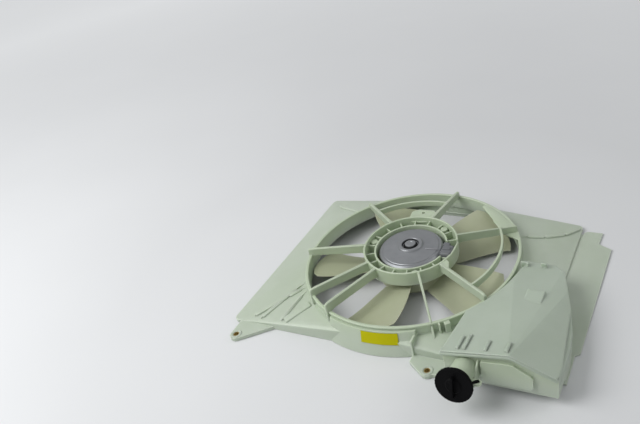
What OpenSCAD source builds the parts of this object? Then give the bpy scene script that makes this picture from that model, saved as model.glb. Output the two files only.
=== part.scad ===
// Radiator cooling fan: a moulded shroud with its coolant tank, an electric motor and a five-blade fan.
// Origin: fan axis at the radiator-side rim. +Z points to the motor, -Y to the installed top, +X to the tank.

/* [Shroud panel] */
// Distance from the fan axis to the panel's free side
panel_left = 241; // [225:1:260]
// Distance from the fan axis to the fold beside the tank
panel_right = 232; // [226:1:238]
// Distance from the ring's bore to the panel's top edge
top_margin = 6; // [6:0.5:11]
// Distance from the ring's bore to the panel's bottom edge
bottom_margin = 5; // [5:0.5:15]
// Thickness of the moulded walls
wall = 2.5; // [2:0.1:3]
// Height of the straight rim around the panel
skirt_h = 5; // [4:0.5:8]
// Height at which the funnel meets the fan ring
funnel_h = 27; // [24:0.5:30]
// Rounding of the panel's corners
corner_r = 9; // [5:1:14]

/* [Fan ring] */
// Inner radius of the ring around the blades
ring_r = 165; // [164:0.5:166]
// Wall thickness of the ring
ring_wall = 3; // [2.5:0.1:3.5]
// Height of the ring's rim above the radiator-side face
ring_top = 44; // [42:0.5:46]
// Distance from the ring's bore to the foot of the bulge at the top edge
bulge_out = 18; // [16:0.5:19]
// Distance from the ring's bore to the rim of the same bulge
bulge_top_out = 8; // [7:0.5:10]
// Height of the bulge
bulge_h = 39; // [36:0.5:40]

/* [Motor stay] */
// Gap between the motor's can and the ring that holds it
stay_gap = 5; // [4:0.25:6]
// Width of the channel between that ring's two walls
stay_width = 19; // [18:0.5:21]
// Height of the motor ring's open rim
stay_top = 61; // [60:0.5:63]
// Height of the motor ring's floor
stay_floor = 38; // [37.5:0.5:39]
// Width of the heavy arms
arm_w = 4.5; // [4:0.25:5.5]
// Width of the thin arms
thin_arm_w = 3; // [2.5:0.25:3.5]
// Depth of the arms
arm_h = 12; // [10:0.5:13]
// Radius of the curved rib between the two arms on the tank side
arc_rib_r = 141; // [138:0.5:144]
// Radius of the curved rib between the two arms on the bottom side
far_rib_r = 131; // [128:0.5:134]

/* [Ears] */
// Inner radius of the metal sleeves, for an M6 bolt
sleeve_bore_r = 3.3; // [3.2:0.05:3.5]
// Wall thickness of the sleeves
sleeve_wall = 1.2; // [1:0.1:1.5]
// Thickness of the ears
ear_t = 6; // [5:0.5:8]

/* [Deflector] */
// Distance from the fan axis to the deflector's free edge
deflector_right = 285; // [282:1:290]
// Thickness of the deflector sheet
deflector_t = 2.2; // [2:0.1:2.6]

/* [Coolant tank] */
// Distance from the panel's top edge to the tank's top wall
tank_reach = 30; // [29:0.5:33]
// Distance from the fan axis to the tank's free side
tank_right = 276; // [274:0.5:277]
// Distance from the fan axis to the tank's side by the ring, at the top wall
tank_left = 129; // [127:0.5:131]
// Distance from the ring's bore to the tank's wall that follows it
tank_gap = 12; // [11:0.5:14]
// Height of the seam between the tank's two halves
tank_seam = 28.5; // [28:0.25:31]
// Height of the tank's top wall at its left end
tank_z_left = 60; // [58:0.5:62]
// Height of the tank's top wall at its peak
tank_z_peak = 75; // [73:0.5:77]
// Height of the tank's top wall at its right end
tank_z_right = 48; // [46:0.5:50]
// Height of the tank's cover at its far end
tank_z_end = 42; // [40:0.5:44]
// Height of the tank's front wall
tank_z_front = 13; // [11:0.5:15]
// Wall thickness of the tank
tank_wall = 2.2; // [2:0.1:2.5]

/* [Filler neck and cap] */
// Outer radius of the filler neck
neck_r = 16; // [15:0.25:16.5]
// Bore radius of the filler neck
neck_bore_r = 13; // [12:0.25:13.5]
// Length of the neck above the tank's top wall
neck_len = 42; // [38:1:46]
// Distance of the neck's axis from the fan axis
neck_x = 160; // [158:0.5:163]
// Height of the neck's axis at the tank's top wall
neck_z = 41; // [40:0.5:42.5]
// Tilt of the neck away from the radiator
neck_tilt = 14; // [10:1:18]
// Radius of the cap
cap_r = 24; // [22:0.5:25]
// Thickness of the cap's disc
cap_t = 4; // [3:0.5:5]

/* [Fan] */
// Number of blades
blade_count = 5; // [5:1:6]
// Gap between the blade tips and the ring
tip_gap = 4.5; // [3.5:0.5:9]
// Gap between the fan hub's wall and the motor's can
hub_gap = 5.4; // [4.5:0.1:7]
// Height of the hub's face
hub_face = 7; // [6.5:0.5:9]
// Length of the hub
hub_len = 26; // [24:0.5:27]
// Wall thickness of the hub
hub_wall = 2.6; // [2.2:0.1:3]
// Thickness of a blade at its middle
blade_t = 2.6; // [2.2:0.1:3]
// Height of a blade's leading edge
blade_low = 8.5; // [8:0.5:12]
// Height of a blade's trailing edge at the tip
blade_high = 36; // [32:0.5:38]
// Turn of the fan at rest
fan_turn = 50; // [0:1:71]

/* [Motor] */
// Outer radius of the motor's can
can_r = 50; // [48:0.5:51]
// Height of the can's closed end
can_end = 55; // [53:0.5:56]
// Height of the can's open end
can_open = 22; // [21:0.5:23]
// Sheet thickness of the can
can_t = 1.6; // [1.4:0.1:2]
// Radius of the motor's shaft
shaft_r = 4; // [3.5:0.25:4.5]
// Number of armature slots
slot_count = 12; // [10:2:16]
// Radius of the armature core
core_r = 35; // [33:0.5:36]
// Running gap between the armature and the magnets
air_gap = 0.8; // [0.5:0.1:1]

/* [Hidden] */
$fn = 96;
fit = 0.3;
run_gap = 0.05;
eps = 0.01;
panel_top = ring_r + top_margin;
panel_bottom = ring_r + bottom_margin;
bulge_r = ring_r + bulge_out;
bulge_top_r = ring_r + bulge_top_out;
tank_top = panel_top + tank_reach;
tank_arc_r = ring_r + tank_gap;
tip_r = ring_r - tip_gap;
hub_r = can_r + hub_gap + hub_wall;
stay_bore_r = can_r + stay_gap;
stay_r = stay_bore_r + stay_width;

ring_out_r = ring_r + ring_wall;
collar_r = ring_out_r + 4;
ring_bead = 1.6;
bulge_from = -62;
bulge_to = 70;

sleeve_r = sleeve_bore_r + sleeve_wall;
ear_left = [-panel_left + 26, -panel_top - 29];
ear_right = [98, -panel_top - 23];
ear_bottom = [-2, panel_bottom + 20];
ears = [ear_left, ear_right, ear_bottom];
ear_r = 10;

boss_r = stay_bore_r + 10;
boss_angles = [-62, 58, 178];
cell_rib_count = 18;
rib_h = 2.6;
screw_r = 2.4;
motor_ear_t = 2.5;
head_h = 2.4;

crease_x = 217;
cover_flange = 4;
insert_r = 10;
insert_h = 9;
nut_h = 5;
washer_t = 1.5;
journal_r = shaft_r + 1;
plate_t = 2;
can_floor = can_end - 4.5;
front_bearing_r = 9;
rear_bearing_r = 8;
bearing_len = 5;
front_bearing_z = can_open - 4;
rear_bearing_z = can_floor - bearing_len;
card_z = front_bearing_z + bearing_len;
card_t = 1.5;
commutator_r = 9;
commutator_h = 6;
brush_len = 12;
brush_h = 4;
spring_len = 8;
core_low = can_open + 11;
core_high = can_open + 21;
winding_h = 2.5;
connector_z = can_end - 8;
connector_h = 12;
connector_end = stay_r - 3.7;
socket_x = can_r + 6;

function polar(r, a) = [r * cos(a), r * sin(a)];
function arc_points(r, a0, a1, n) = [for (i = [0:n]) polar(r, a0 + (a1 - a0) * i / n)];

// Outline of the panel's rim, moved in by a distance
module panel_outline(inset) {
    offset(r = corner_r - inset, $fn = 32)
        translate([-panel_left + corner_r, -panel_top + corner_r])
            square([panel_left + panel_right - 2 * corner_r, panel_top + panel_bottom - 2 * corner_r]);
}

// Funnel from the rectangular rim to the round ring, as a solid
module funnel(inset, drop) {
    hull() {
        linear_extrude(skirt_h - drop) panel_outline(inset);
        translate([0, 0, funnel_h - drop - 1])
            cylinder(r = collar_r - inset, h = 1, $fn = 72);
    }
}

// Cone of the bulge along the top edge
module bulge(inset) {
    intersection() {
        translate([0, 0, -inset])
            cylinder(r1 = bulge_r - inset, r2 = bulge_top_r - inset, h = bulge_h);
        translate([bulge_from + inset, -200, -1])
            cube([bulge_to - bulge_from - 2 * inset, 80, bulge_h + 2]);
    }
}

module fan_ring() {
    rotate_extrude()
        polygon([[ring_r, funnel_h - 6], [ring_out_r, funnel_h - 6], [ring_out_r, ring_top - 4],
            [ring_out_r + ring_bead, ring_top - 3], [ring_out_r + ring_bead, ring_top - 0.8],
            [ring_out_r + ring_bead - 0.8, ring_top], [ring_r + 0.6, ring_top], [ring_r, ring_top - 0.6]]);
}

// One arm of the stay: side view in radius and height, given a width
module arm(angle, width, z_tip, r_tip, foot) {
    rotate([90, 0, angle])
        linear_extrude(width, center = true)
            polygon([[stay_r - 2, stay_top - 0.4], [stay_r + 8, stay_top - 1], [r_tip - 8, z_tip + 1],
                [r_tip, z_tip - 1.5], [r_tip + 1.5, foot], [ring_out_r - 1, foot], [ring_out_r - 1, ring_top - 3],
                [ring_r - 8, ring_top - 4 + (z_tip - ring_top) * 0.3],
                [stay_r + 8, stay_top - arm_h - 3], [stay_r - 2, stay_top - arm_h - 6]]);
}

module stay_ring() {
    rotate_extrude()
        polygon([[stay_bore_r, stay_floor], [stay_r, stay_floor], [stay_r, stay_top - 0.6],
            [stay_r - 0.6, stay_top], [stay_r - 2.4, stay_top], [stay_r - 3, stay_top - 0.6],
            [stay_r - 3, stay_floor + 2.6], [stay_bore_r + 2.5, stay_floor + 2.6],
            [stay_bore_r + 2.5, stay_top - 5], [stay_bore_r, stay_top - 5]]);
    for (i = [0:cell_rib_count - 1])
        rotate(i * 360 / cell_rib_count + 7)
            translate([stay_bore_r + 1, -1, stay_floor + 1])
                cube([stay_r - stay_bore_r - 2.5, 2, stay_top - stay_floor - 8]);
    far_tab();
    harness_tab();
}

// Flat tab with a small hole on the ring's far side
module far_tab() {
    translate([0, 0, stay_top - 11])
        linear_extrude(3)
            difference() {
                polygon([[-34, stay_r - 10], [-37, stay_r + 19], [-34, stay_r + 24], [-26, stay_r + 28],
                    [-4, stay_r + 29], [2, stay_r + 26], [6.5, stay_r + 16], [5, stay_r - 2]]);
                translate([-17, stay_r + 20]) circle(r = 3);
            }
}

// Tab beside the arm next to the connector, for the harness clip
module harness_tab() {
    rotate(-29.5) translate([0, 0, stay_top - 4])
        linear_extrude(3)
            polygon([[stay_r - 2, 0], [stay_r - 2, 12], [stay_r + 6, 11], [stay_r + 17, 1], [stay_r + 6, -3]]);
}

// Space in the motor ring for the connector
module connector_notch() {
    translate([can_r - 2, -14, stay_floor + 2.6]) cube([connector_end - can_r + 3, 38, 40]);
}

module screw_bosses() {
    for (a = boss_angles)
        rotate(a) translate([boss_r, 0, stay_floor]) cylinder(r = 5.5, h = 16);
}

// Rounded end of an ear, as points around its sleeve
function ear_end(centre, start, sweep) = [for (i = [0:12]) centre + polar(ear_r, start + i * sweep / 12)];

module ear_lugs() {
    linear_extrude(ear_t) {
        polygon(concat([[-panel_left + 15.5, -panel_top + 6], [-158, -panel_top + 6]], ear_end(ear_left, -38, -150)));
        polygon(concat([[68, -panel_top + 6], [134, -panel_top + 6], [134, -tank_top + 3], [114, -tank_top + 3]],
            ear_end(ear_right, -30, -105), [[68, -panel_top - 14]]));
        polygon(concat([[49, panel_bottom - 5], [-45, panel_bottom - 5]], ear_end(ear_bottom, 160, -145)));
    }
}

module deflector() {
    linear_extrude(deflector_t)
        polygon([[panel_right - 2, -panel_top + 4], [deflector_right - 7, -panel_top + 4],
            [deflector_right - 7, -116], [deflector_right - 1, -111], [deflector_right, 119],
            [deflector_right - 17, 127], [deflector_right - 21, 131], [deflector_right - 20, panel_bottom - 11],
            [panel_right + 8, panel_bottom - 11], [panel_right + 4, panel_bottom - 16],
            [panel_right + 4, panel_bottom - 20], [panel_right - 2, panel_bottom - 20]]);
}

// Footprint of the tank on the panel, moved in by a distance
module tank_outline(inset) {
    offset(delta = -inset)
        polygon(concat([[tank_left, -tank_top], [tank_left + 3, -118]],
            arc_points(tank_arc_r, -41, -3, 10),
            [[tank_arc_r + 7, 14], [tank_arc_r + 45, 16], [tank_right - 38, 2], [tank_right - 24, -40],
                [tank_right - 12, -76], [tank_right - 3, -112], [tank_right, -140], [tank_right, -tank_top]]));
}

// Solid under the cover's sloping faces, moved in by a distance
module tank_roof(inset) {
    t = -tank_top - 4;
    hull() {
        for (p = [[tank_left - 4, t, tank_z_left], [crease_x, t, tank_z_peak], [tank_right + 1, t, tank_z_right],
                [crease_x - 2, 113 - tank_top, tank_z_end + 12], [tank_left - 4, 141 - tank_top, tank_z_end + 1],
                [256, -20, tank_z_end - 3], [160, 26, tank_z_end - 2], [236, 26, tank_z_end - 6]])
            translate([p[0], p[1], 0]) cylinder(r = 1.5, h = p[2] - inset, $fn = 8);
    }
}

// Half of the tank that belongs to the shroud moulding: side walls up to the seam and the top wall
module tank_front() {
    difference() {
        union() {
            linear_extrude(tank_seam) tank_outline(0);
            intersection() {
                translate([tank_left, -tank_top, 0])
                    cube([tank_right - tank_left, tank_wall, tank_z_peak + 5]);
                tank_roof(0);
            }
            tank_panel();
        }
        translate([tank_left - 1, -tank_top - 10, -1])
            cube([tank_right - tank_left + 2, tank_top - panel_top + 14, tank_z_front + 1]);
        translate([0, 0, tank_z_front + tank_wall])
            linear_extrude(tank_seam) tank_outline(tank_wall);
        translate([0, 0, deflector_t])
            linear_extrude(tank_seam) intersection() {
                tank_outline(tank_wall);
                translate([0, -panel_top + 4 + tank_wall]) square([400, 300]);
            }
    }
}

// Raised panel on the tank's top wall, beside the neck
module tank_panel() {
    translate([0, -tank_top + 1, 0]) rotate([90, 0, 0])
        linear_extrude(5)
            polygon([[180, 20], [243, 23], [246, 27], [246, 43], [243, 47], [222, 60], [216, 61], [182, 57],
                [180, 54]]);
}

// Curved rib between the two arms on the tank side, and its end on the ring
module arc_rib() {
    rotate([0, 0, -30]) translate([0, 0, ring_top + 3])
        rotate_extrude(angle = 61) translate([arc_rib_r - 1.5, 0]) square([3, 11]);
}

// Second curved rib, between the two arms on the bottom side
module far_arc_rib() {
    rotate([0, 0, 84]) translate([0, 0, ring_top])
        rotate_extrude(angle = 55) translate([far_rib_r - 1.5, 0]) square([3, 9]);
}

// Plan of one straight rib, w wide
module rib_plan(x0, y0, x1, y1, w) {
    translate([x0, y0]) rotate(atan2(y1 - y0, x1 - x0))
        translate([0, -w / 2]) square([norm([x1 - x0, y1 - y0]), w]);
}

// Ribs that stand a little above the funnel's slope
module panel_ribs() {
    intersection() {
        linear_extrude(funnel_h) {
            rib_plan(-205, -162, -164, -119, 2.6);
            rib_plan(-164, -119, -138, -90, 2.6);
            rib_plan(-151, -166, -137, -100, 2.6);
            rib_plan(-190, -166, -146, -78, 1.8);
            rib_plan(-214, 143, -133, 107, 2.6);
            rib_plan(147, 93, 183, 109, 2.2);
            rib_plan(182, 108, 210, 130, 2.2);
            rib_plan(209, 129, 228, 158, 2.2);
        }
        translate([0, 0, rib_h]) funnel(0, 0);
    }
}

// Ribs and clip posts on the ring's outside, between the thin arm and the tank
module ring_posts() {
    rotate(-54.6) translate([ring_r + 1, -1, 12]) cube([9, 2, ring_top - 13]);
    rotate(-51) translate([ring_r + 1, -4, 10]) cube([10, 8, ring_top - 12]);
    for (x = [bulge_from + 50, bulge_to - 2])
        translate([x, -panel_top - 3, 0]) cube([2.4, 20, bulge_h - 6]);
}

module shroud() {
    color("#c9d3b4")
    difference() {
        union() {
            difference() {
                union() {
                    funnel(0, 0);
                    bulge(0);
                    deflector();
                    ear_lugs();
                    panel_ribs();
                    ring_posts();
                    tank_front();
                }
                translate([0, 0, -eps]) funnel(wall, wall);
                bulge(wall);
                translate([0, 0, -1]) cylinder(r = ring_r + 1, h = bulge_h + 2);
            }
            fan_ring();
            arm(139, arm_w, 50, ring_out_r, 30);
            arm(84, arm_w, 52, ring_out_r, 30);
            arm(30, thin_arm_w, 54, ring_out_r, 36);
            arm(-29.5, arm_w, 55, ring_out_r + 2, 24);
            arm(-58, thin_arm_w, 45, ring_out_r, 24);
            arm(-113.5, arm_w, 57, ring_out_r + 3, 24);
            arm(-130.5, arm_w, 54, ring_out_r + 2, 24);
            arm(-167, arm_w, 54, ring_out_r + 2, 24);
            arc_rib();
            far_arc_rib();
            difference() {
                union() {
                    stay_ring();
                    screw_bosses();
                }
                connector_notch();
            }
            filler_neck();
        }
        for (e = ears)
            translate([e[0], e[1], -1]) cylinder(r = sleeve_r, h = ear_t + 2);
        for (a = boss_angles)
            rotate(a) translate([boss_r, 0, stay_floor - 1]) cylinder(r = screw_r, h = 14);
        along_neck() translate([0, 0, -8]) cylinder(r = neck_bore_r, h = neck_len + 9);
    }
}

// Puts something on the neck's axis, with z measured outwards from the tank's top wall
module along_neck() {
    translate([neck_x, -tank_top, neck_z]) rotate([90 - neck_tilt, 0, 0]) children();
}

module filler_neck() {
    difference() {
        along_neck() {
            translate([0, 0, -8]) cylinder(r = neck_r, h = neck_len + 8);
            translate([0, 0, neck_len - 3]) cylinder(r = neck_r + 1.5, h = 3);
            translate([0, 0, neck_len - 16.5]) tether_lug();
        }
        translate([neck_x - 40, -tank_top + 1, 0]) cube([80, 40, 100]);
    }
}

// Lug on the neck's side that the cap's tether hooks into
module tether_lug() {
    difference() {
        union() {
            translate([neck_r - 3, -1.5, 0]) cube([12, 3, 11]);
            translate([neck_r + 9, 1.5, 5.5]) rotate([90, 0, 0]) cylinder(r = 5.5, h = 3);
        }
        translate([neck_r + 9, 2.5, 5.5]) rotate([90, 0, 0]) cylinder(r = 2.2, h = 5);
    }
}

module tank_cover() {
    color("#b9c7ab")
    difference() {
        union() {
            intersection() {
                union() {
                    tank_outline_solid(0);
                    translate([tank_left - 1, -tank_top - cover_flange, 0])
                        cube([tank_right - tank_left, cover_flange + 4, 100]);
                }
                tank_roof(-tank_wall);
                translate([0, -300, tank_seam]) cube([400, 400, 100]);
            }
            intersection() {
                cover_ribs();
                tank_roof(-tank_wall - 2.4);
            }
            cover_clip();
            cover_posts();
        }
        intersection() {
            tank_outline_solid(tank_wall);
            tank_roof(0);
        }
        intersection() {
            translate([tank_left - 5, -tank_top - 10, 0]) cube([200, 10 + tank_wall, 200]);
            tank_roof(0);
        }
    }
}

// Four short ribs behind the flange
module cover_ribs() {
    for (r = [[149, 26], [158, 30], [186, 20], [213, 19]])
        translate([r[0], -tank_top + 1, tank_seam + 10]) cube([2.4, r[1], 60]);
}

// Square clip on the cover's slope
module cover_clip() {
    difference() {
        translate([202, 115 - tank_top, tank_z_end + 2]) cube([24, 25, 14]);
        translate([206, 114 - tank_top, tank_z_end + 10]) cube([16, 27, 3.5]);
    }
}

// Small posts at the cover's far end
module cover_posts() {
    for (q = [[-3, 2, 9, 3], [6, -1, 3, 7], [26, 4, 9, 3]])
        translate([tank_arc_r + q[0], q[1], tank_seam + 4]) cube([q[2], q[3], tank_z_end - tank_seam + 5]);
}

module tank_outline_solid(inset) {
    linear_extrude(120) tank_outline(inset);
}

module filler_cap() {
    color("#1b1b1d")
    along_neck() translate([0, 0, neck_len + fit]) {
        difference() {
            union() {
                cylinder(r = cap_r, h = cap_t);
                translate([0, 0, -12]) cylinder(r = neck_bore_r - 1.5, h = 13);
                translate([0, 0, cap_t - 1]) cylinder(r1 = 12, r2 = 9, h = 3);
            }
            translate([0, 0, -13]) cylinder(r = neck_bore_r - 3.5, h = 13);
        }
        translate([-1.5, -15, cap_t - 1]) cube([3, 30, 8]);
    }
}

module cap_seal() {
    color("#2c2c2e")
    along_neck() translate([0, 0, neck_len - 6])
        rotate_extrude()
            polygon([[neck_bore_r - 1.5, 0], [neck_bore_r - 0.2, 1], [neck_bore_r - 0.2, 2.5], [neck_bore_r - 1.5, 3.5]]);
}

module cap_tether() {
    color("#232325")
    along_neck() translate([0, 0, neck_len - 5.5]) {
        difference() {
            cylinder(r = neck_r + 4, h = 2.2);
            translate([0, 0, -1]) cylinder(r = neck_r + 0.3, h = 5);
        }
        translate([neck_r + 9, 3, -5.5]) rotate([90, 0, 0]) cylinder(r = 2.1, h = 6);
        translate([neck_r + 9, -1.5, -5.5]) rotate([90, 0, 0]) cylinder(r = 3.4, h = 1.5);
        translate([0, 3, 0]) rotate([90, 0, 0]) linear_extrude(1.5)
            polygon([[neck_r + 6.2, -6.5], [neck_r + 9, -9], [neck_r + 12, -5.5], [neck_r + 3.6, 2.2],
                [neck_r + 1.5, 2.2], [neck_r + 1.5, 0]]);
    }
}

module mount_sleeves() {
    color("#c8a75a")
    for (e = ears)
        translate([e[0], e[1], 0])
            difference() {
                cylinder(r = sleeve_r, h = ear_t);
                translate([0, 0, -1]) cylinder(r = sleeve_bore_r, h = ear_t + 2);
            }
}

// A point of the blade's middle surface: s runs from the hub to the tip, c from the leading to the trailing edge
function lead_angle(s) = 27 - 22 * s + 15 * s * s;
function trail_angle(s) = 25 - 8 * s;
function blade_radius(s) = hub_r - 1.5 + (tip_r - hub_r + 1.5) * s;
function blade_rise(s) = (blade_high - blade_low) * (0.72 + 0.28 * s);
function blade_z(s, c) = blade_low + blade_rise(s) * (c + 0.14 * sin(180 * c) * (1 - 0.4 * s));
function tip_round(c) = (c < 0.5 ? 5 : 8) * pow(abs(2 * c - 1), 5);
function blade_point(s, c, side) =
    let (r = blade_radius(s) - tip_round(c) * pow(s, 6), a = c * trail_angle(s) - (1 - c) * lead_angle(s),
        t = blade_t / 2 * (0.35 + 0.65 * sqrt(max(0, sin(180 * c)))) * (1.1 - 0.35 * s))
    [r * cos(a), r * sin(a), blade_z(s, c) + side * t];

module blade() {
    ns = 8;
    nc = 10;
    pts = [for (side = [-1, 1]) for (i = [0:ns]) for (j = [0:nc]) blade_point(i / ns, j / nc, side)];
    n = (ns + 1) * (nc + 1);
    function id(side, i, j) = side * n + i * (nc + 1) + j;
    faces = concat(
        [for (i = [0:ns - 1]) for (j = [0:nc - 1]) each [[id(0, i, j), id(0, i + 1, j), id(0, i + 1, j + 1)],
            [id(0, i, j), id(0, i + 1, j + 1), id(0, i, j + 1)]]],
        [for (i = [0:ns - 1]) for (j = [0:nc - 1]) each [[id(1, i, j), id(1, i + 1, j + 1), id(1, i + 1, j)],
            [id(1, i, j), id(1, i, j + 1), id(1, i + 1, j + 1)]]],
        [for (i = [0:ns - 1]) each [[id(0, i, 0), id(1, i, 0), id(1, i + 1, 0)], [id(0, i, 0), id(1, i + 1, 0), id(0, i + 1, 0)],
            [id(0, i, nc), id(1, i + 1, nc), id(1, i, nc)], [id(0, i, nc), id(0, i + 1, nc), id(1, i + 1, nc)]]],
        [for (j = [0:nc - 1]) each [[id(0, 0, j), id(1, 0, j + 1), id(1, 0, j)], [id(0, 0, j), id(0, 0, j + 1), id(1, 0, j + 1)],
            [id(0, ns, j), id(1, ns, j), id(1, ns, j + 1)], [id(0, ns, j), id(1, ns, j + 1), id(0, ns, j + 1)]]]);
    polyhedron(points = pts, faces = faces, convexity = 6);
}

module fan() {
    color("#cfd0bd")
    rotate(fan_turn) {
        rotate_extrude()
            polygon([[insert_r, hub_face], [hub_r - 5, hub_face], [hub_r - 1.5, hub_face + 1.5],
                [hub_r, hub_face + 5], [hub_r, hub_face + hub_len], [hub_r - hub_wall, hub_face + hub_len],
                [hub_r - hub_wall, hub_face + 6], [hub_r - 5.5, hub_face + hub_wall],
                [insert_r + 4, hub_face + hub_wall], [insert_r + 4, hub_face + insert_h],
                [insert_r, hub_face + insert_h]]);
        for (i = [0:blade_count - 1])
            rotate(i * 360 / blade_count) blade();
        for (i = [0:5])
            rotate(i * 60 + 15) translate([insert_r + 3, -1, hub_face + 1])
                cube([hub_r - hub_wall - insert_r - 2, 2, insert_h - 2.5]);
    }
}

module fan_insert() {
    color("#b9bbbe")
    translate([0, 0, hub_face])
        difference() {
            cylinder(r = insert_r, h = insert_h);
            translate([0, 0, -1]) cylinder(r = shaft_r + run_gap, h = insert_h + 2);
        }
}

module fan_washer() {
    color("#c3c5c8")
    translate([0, 0, hub_face - washer_t])
        difference() {
            cylinder(r = insert_r - 0.5, h = washer_t);
            translate([0, 0, -1]) cylinder(r = shaft_r + run_gap, h = washer_t + 2);
        }
}

module fan_nut() {
    color("#c9b36a")
    translate([0, 0, hub_face - washer_t - nut_h])
        difference() {
            intersection() {
                cylinder(r = 7.5, h = nut_h, $fn = 6);
                cylinder(r1 = 6.6, r2 = 8.5, h = nut_h);
            }
            translate([0, 0, -1]) cylinder(r = shaft_r, h = nut_h + 2);
        }
}

module motor_can() {
    color("#8f9196")
    difference() {
        union() {
            rotate_extrude()
                polygon([[0, can_end - 1], [0, can_end + 3.5], [5.5, can_end + 3.5], [7, can_end + 2],
                    [7.5, can_end - 0.5], [10.5, can_end - 0.5], [11.5, can_end + 2.2], [17.5, can_end + 2.2],
                    [19, can_end], [43, can_end], [44.5, can_end - 1.2], [47.5, can_end - 1.2],
                    [can_r, can_end - 3.5], [can_r, can_open], [can_r - can_t, can_open],
                    [can_r - can_t, can_floor], [rear_bearing_r + 2.5, can_floor],
                    [rear_bearing_r + 2.5, rear_bearing_z], [rear_bearing_r, rear_bearing_z],
                    [rear_bearing_r, can_floor], [0, can_floor]]);
            for (a = boss_angles)
                rotate(a) translate([0, 0, stay_floor - motor_ear_t]) linear_extrude(motor_ear_t) motor_ear();
        }
        translate([0, 0, can_floor - 1]) cylinder(r = journal_r + 1, h = 3);
        for (a = boss_angles)
            rotate(a) translate([boss_r, 0, stay_floor - 10]) cylinder(r = screw_r + fit, h = 20);
    }
}

// Outline of one fixing ear on the can
module motor_ear() {
    translate([can_r - 1, -7]) square([boss_r - can_r + 1, 14]);
    translate([boss_r, 0]) circle(r = 7);
}

module motor_front_plate() {
    color("#7f8186")
    difference() {
        union() {
            translate([0, 0, can_open - plate_t]) cylinder(r = can_r, h = plate_t);
            translate([0, 0, front_bearing_z - 1]) cylinder(r = front_bearing_r + 3, h = bearing_len + 1);
        }
        translate([0, 0, front_bearing_z - 2]) cylinder(r = journal_r + 1, h = bearing_len);
        translate([0, 0, front_bearing_z]) cylinder(r = front_bearing_r, h = bearing_len + 1);
    }
}

module motor_magnets() {
    color("#4a4b4f")
    for (k = [0:3])
        rotate(k * 90 + 12)
            translate([0, 0, core_low - 3])
                rotate_extrude(angle = 66)
                    translate([core_r + air_gap, 0])
                        square([can_r - can_t - core_r - air_gap, core_high - core_low + 6]);
}

module motor_screws() {
    color("#b5b7ba")
    for (a = boss_angles)
        rotate(a) translate([boss_r, 0, stay_floor - motor_ear_t]) {
            difference() {
                translate([0, 0, -head_h]) cylinder(r1 = 3.6, r2 = 4.4, h = head_h);
                for (t = [0, 90])
                    rotate(t) translate([-2.2, -0.5, -head_h - 1]) cube([4.4, 1, 2]);
            }
            cylinder(r = screw_r, h = motor_ear_t + 12);
        }
}

module motor_shaft() {
    color("#c4c6c9")
    rotate_extrude()
        polygon([[0, hub_face - 6.8], [shaft_r - 0.5, hub_face - 6.8], [shaft_r, hub_face - 6.3],
            [shaft_r, hub_face + insert_h], [journal_r, hub_face + insert_h], [journal_r, can_floor - 0.5],
            [0, can_floor - 0.5]]);
}

// Plain bearing with rounded edges, standing on its lower face
module bearing(radius) {
    rotate_extrude()
        polygon([[journal_r + run_gap, 0], [radius - 0.5, 0], [radius, 0.5], [radius, bearing_len - 0.5],
            [radius - 0.5, bearing_len], [journal_r + run_gap, bearing_len]]);
}

module front_bearing() {
    color("#9a9ca0") translate([0, 0, front_bearing_z]) bearing(front_bearing_r);
}

module rear_bearing() {
    color("#9a9ca0") translate([0, 0, rear_bearing_z]) bearing(rear_bearing_r);
}

module armature_core() {
    color("#6d6f74")
    difference() {
        translate([0, 0, core_low]) cylinder(r = core_r, h = core_high - core_low);
        translate([0, 0, core_low - 1]) cylinder(r = journal_r, h = 30);
        for (i = [0:slot_count - 1])
            rotate(i * 360 / slot_count) {
                translate([core_r - 14, -2.6, core_low - 1]) cube([11, 5.2, 30]);
                translate([core_r - 5, -1, core_low - 1]) cube([7, 2, 30]);
            }
    }
}

// Winding heads on both faces of the core and the wire bundles in its slots
module armature_winding() {
    color("#b46a35")
    difference() {
        union() {
            for (z = [core_low - winding_h, core_high])
                translate([0, 0, z])
                    rotate_extrude() polygon([[core_r - 14.5, 0.4], [core_r - 14, 0], [core_r - 4, 0], [core_r - 3.5, 0.4],
                        [core_r - 3.5, winding_h], [core_r - 14.5, winding_h]]);
            for (i = [0:slot_count - 1])
                rotate(i * 360 / slot_count)
                    translate([core_r - 13.5, -2.2, core_low - 1]) cube([9.5, 4.4, core_high - core_low + 2]);
        }
        for (i = [0:slot_count - 1])
            rotate((i + 0.5) * 360 / slot_count)
                translate([core_r - 20, -0.6, core_high + 1.5]) cube([30, 1.2, 5]);
    }
}

module commutator() {
    color("#b87a45")
    translate([0, 0, card_z + 1])
        difference() {
            cylinder(r = commutator_r, h = commutator_h);
            translate([0, 0, -1]) cylinder(r = journal_r, h = commutator_h + 2);
            for (i = [0:slot_count - 1])
                rotate(i * 360 / slot_count)
                    translate([commutator_r - 0.6, -0.3, 1]) cube([2, 0.6, commutator_h - 2]);
        }
}

module brush_card() {
    color("#3b3733")
    translate([0, 0, card_z]) {
        difference() {
            cylinder(r = can_r - can_t - fit, h = card_t);
            translate([0, 0, -1]) cylinder(r = commutator_r + 1.5, h = 4);
        }
        for (a = [30, 210])
            rotate(a) translate([commutator_r + run_gap + brush_len + spring_len, -3.5, card_t - 0.1])
                cube([2, 7, brush_h + 0.1]);
    }
}

module carbon_brushes() {
    color("#2a2a2c")
    for (a = [30, 210])
        rotate(a) translate([0, 0, card_z + card_t])
            difference() {
                translate([0, -2.5, 0]) cube([commutator_r + run_gap + brush_len, 5, brush_h]);
                translate([0, 0, -1]) cylinder(r = commutator_r + run_gap, h = brush_h + 2);
            }
}

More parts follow.
